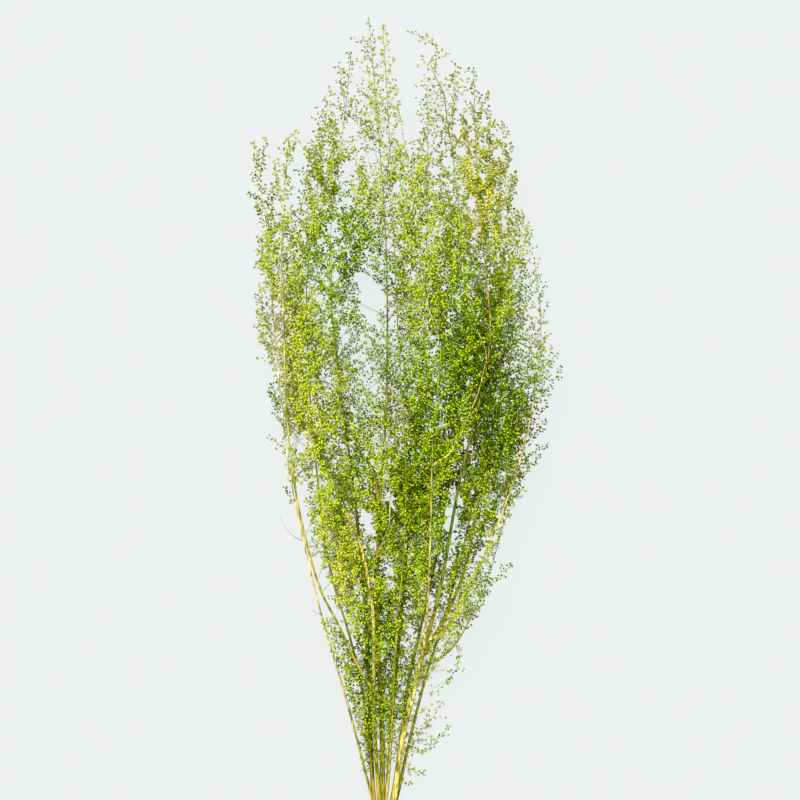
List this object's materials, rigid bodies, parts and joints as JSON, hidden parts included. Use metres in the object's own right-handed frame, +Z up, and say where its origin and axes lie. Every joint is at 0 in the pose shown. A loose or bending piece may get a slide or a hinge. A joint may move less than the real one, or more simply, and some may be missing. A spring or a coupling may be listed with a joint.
{
  "type": "bunch of dried sweet wormwood stems",
  "caption": "Gathered bunch of dried sweet wormwood stems, lying down, with airy plumes of fine twigs and tiny round flower heads above a narrow sheaf of cut stems in an elastic band",
  "frame": {"origin": "on the surface that the bunch lies on, under the middle of its bounding box", "axes": "+Y along the stems from the cut ends to the tips, +Z up from the surface, +X to the right as the bunch is seen from above with its tips away"},
  "size_m": [0.2632, 0.767, 0.1133],
  "materials": {
    "dry_stem": "dry, finely ridged, olive to straw",
    "flower_heads": "matt, papery, yellow-green",
    "band_rubber": "matt natural rubber"
  },
  "bodies": {
    "root": {"stem_left_outer": "dry_stem", "stem_left_inner": "dry_stem", "stem_centre_left": "dry_stem", "stem_snapped": "dry_stem", "stem_centre": "dry_stem", "stem_centre_right": "dry_stem", "stem_back_centre": "dry_stem", "stem_back_right": "dry_stem", "stem_right_main": "dry_stem", "stem_right_back": "dry_stem", "elastic_band": "band_rubber"}
  },
  "joints": []
}
